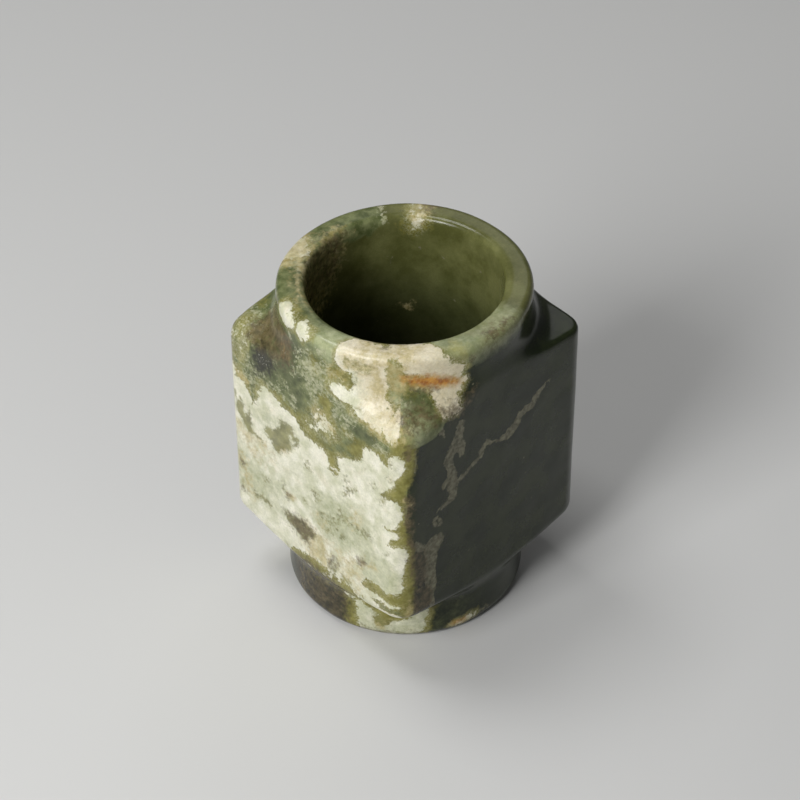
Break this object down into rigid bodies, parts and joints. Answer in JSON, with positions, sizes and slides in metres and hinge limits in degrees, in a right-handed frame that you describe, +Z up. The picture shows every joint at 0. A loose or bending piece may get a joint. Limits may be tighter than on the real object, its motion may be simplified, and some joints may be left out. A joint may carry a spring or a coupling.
{
  "type": "cong tube",
  "caption": "Squat square-sided stone tube with a round collar at each end, four bare cut-back corner shoulders and a wide round through bore.",
  "frame": {"origin": "middle of the base ring, on the surface the cong stands on, on the bore's axis", "axes": "+Z up along the bore; X and Y square to the block's flat faces"},
  "size_m": [0.065, 0.065, 0.0975],
  "materials": {
    "nephrite": "polished"
  },
  "bodies": {
    "root": {"cong_body": "nephrite"}
  },
  "joints": []
}
